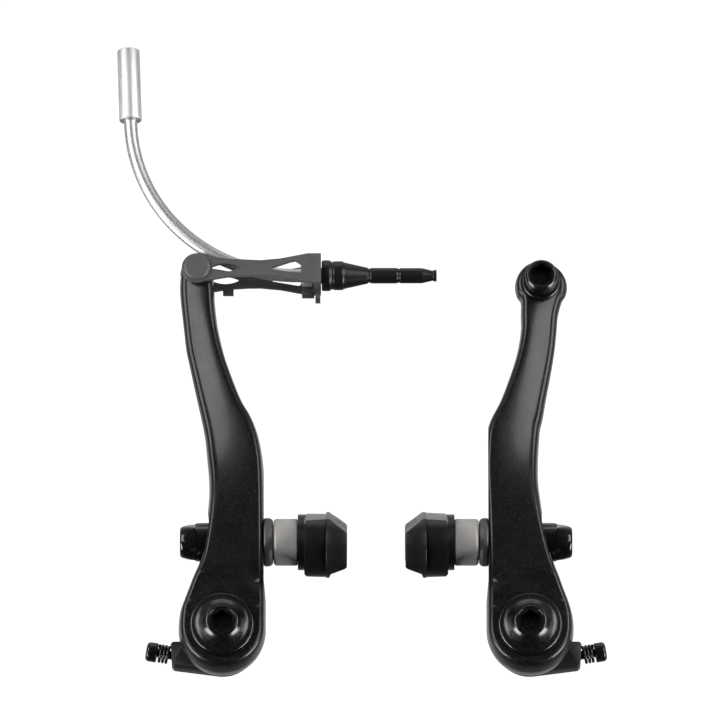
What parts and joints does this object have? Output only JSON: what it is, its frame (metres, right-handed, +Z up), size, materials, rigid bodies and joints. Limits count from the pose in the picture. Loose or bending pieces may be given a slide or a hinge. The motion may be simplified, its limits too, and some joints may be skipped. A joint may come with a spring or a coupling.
{
  "type": "linear-pull rim brake",
  "caption": "Bicycle rim brake: two forged black arms on pivots, pads on threaded studs, a swinging link and a bent cable guide tube with a rubber boot.",
  "frame": {"origin": "left pivot axis at the shoulder of the frame boss", "axes": "+X to the right arm, +Y back into the frame along the pivots, +Z up along the arms"},
  "size_m": [0.1461, 0.0593, 0.1962],
  "materials": {
    "arm_paint": "satin black paint over a forged, faintly grained surface",
    "bolt_black": "glossy black plated steel",
    "nut_black": "high gloss black",
    "link_grey": "matte dark grey",
    "bright_tube": "polished, bent tube",
    "socket_satin": "satin turned",
    "spacer_blasted": "blasted warm grey",
    "washer_grey": "dull dark grey",
    "steel_bare": "turned steel",
    "spring_steel": "drawn wire",
    "holder_plastic": "moulded, matte",
    "shoe_moulding": "satin moulded carrier",
    "pad_rubber": "moulded rubber, faint skin sheen",
    "boot_rubber": "smooth soft rubber"
  },
  "bodies": {
    "frame_side": {"left_pivot_bushing": "steel_bare", "left_fixing_bolt": "bolt_black", "left_spring_holder": "holder_plastic", "right_pivot_bushing": "steel_bare", "right_fixing_bolt": "bolt_black", "right_spring_holder": "holder_plastic"},
    "left_arm": {"left_arm": "arm_paint", "left_return_spring": "spring_steel", "left_spring_peg": "steel_bare"},
    "right_arm": {"right_arm": "arm_paint", "right_return_spring": "spring_steel", "right_spring_peg": "steel_bare", "cable_bolt": "bolt_black", "cable_washer": "bolt_black"},
    "link": {"link": "link_grey", "link_pin": "link_grey", "link_clip": "washer_grey"},
    "guide_tube": {"guide_tube": "bright_tube", "housing_socket": "socket_satin", "tube_tip": "socket_satin"},
    "boot": {"boot": "boot_rubber"},
    "left_washers": {"left_inner_dome": "washer_grey", "left_outer_dome": "washer_grey", "left_spacer": "spacer_blasted", "left_cup_washer": "washer_grey", "left_nut": "nut_black"},
    "left_shoe": {"left_shoe": "shoe_moulding", "left_pad": "pad_rubber", "left_stud": "steel_bare"},
    "left_tension_coil": {"left_tension_coil": "bolt_black"},
    "left_tension_screw": {"left_tension_screw": "bolt_black"},
    "right_washers": {"right_inner_dome": "washer_grey", "right_outer_dome": "washer_grey", "right_spacer": "spacer_blasted", "right_cup_washer": "washer_grey", "right_nut": "nut_black"},
    "right_shoe": {"right_shoe": "shoe_moulding", "right_pad": "pad_rubber", "right_stud": "steel_bare"},
    "right_tension_coil": {"right_tension_coil": "bolt_black"},
    "right_tension_screw": {"right_tension_screw": "bolt_black"}
  },
  "joints": [
    {"name": "left_arm_pivot", "type": "hinge", "parent": "frame_side", "child": "left_arm", "pos_m": [0, -0.012, 0], "axis": [0, 1, 0], "range_deg": [-25, 5], "stiffness_Nm_per_rad": 1.1, "springref_deg": -25},
    {"name": "left_pad_height", "type": "slide", "parent": "left_arm", "child": "left_washers", "axis": [0, 0, 1], "range_m": [-0.003, 0.003]},
    {"name": "left_shoe_tilt", "type": "hinge", "parent": "left_washers", "child": "left_shoe", "pos_m": [0.0223, -0.012, 0.0277], "axis": [1, 0, 0], "range_deg": [-25, 15]},
    {"name": "left_screw_travel", "type": "slide", "parent": "frame_side", "child": "left_tension_coil", "axis": [-0.9848, 0, 0.1736], "range_m": [-0.0005, 0.0025], "deforming": ["left_tension_coil"]},
    {"name": "left_screw_turn", "type": "hinge", "parent": "left_tension_coil", "child": "left_tension_screw", "pos_m": [-0.0154, -0.00285, -0.0045], "axis": [-0.9848, 0, 0.1736], "range_deg": [-360, 1800]},
    {"name": "right_arm_pivot", "type": "hinge", "parent": "frame_side", "child": "right_arm", "pos_m": [0.091, -0.012, 0], "axis": [0, -1, 0], "range_deg": [-25, 5], "stiffness_Nm_per_rad": 1.1, "springref_deg": -25},
    {"name": "right_pad_height", "type": "slide", "parent": "right_arm", "child": "right_washers", "axis": [0, 0, 1], "range_m": [-0.003, 0.003]},
    {"name": "right_shoe_tilt", "type": "hinge", "parent": "right_washers", "child": "right_shoe", "pos_m": [0.0687, -0.012, 0.0277], "axis": [1, 0, 0], "range_deg": [-25, 15]},
    {"name": "right_screw_travel", "type": "slide", "parent": "frame_side", "child": "right_tension_coil", "axis": [0.9848, 0, 0.1736], "range_m": [-0.0005, 0.0025], "deforming": ["right_tension_coil"]},
    {"name": "right_screw_turn", "type": "hinge", "parent": "right_tension_coil", "child": "right_tension_screw", "pos_m": [0.1064, -0.00285, -0.0045], "axis": [0.9848, 0, 0.1736], "range_deg": [-360, 1800]},
    {"name": "link_pivot", "type": "hinge", "parent": "left_arm", "child": "link", "pos_m": [-0.0079, -0.012, 0.112], "axis": [0, 1, 0], "range_deg": [-45, 20]},
    {"name": "tube_swivel", "type": "hinge", "parent": "link", "child": "guide_tube", "pos_m": [0.027, -0.012, 0.1116], "axis": [1, 0, 0], "range_deg": [-20, 20]},
    {"name": "boot_slide", "type": "slide", "parent": "guide_tube", "child": "boot", "axis": [1, 0, 0], "range_m": [0, 0.01]}
  ],
  "couplings": [
    {"joint": "left_screw_turn", "follows": "left_screw_travel", "rad_per_m": 12566},
    {"joint": "right_screw_turn", "follows": "right_screw_travel", "rad_per_m": 12566}
  ]
}
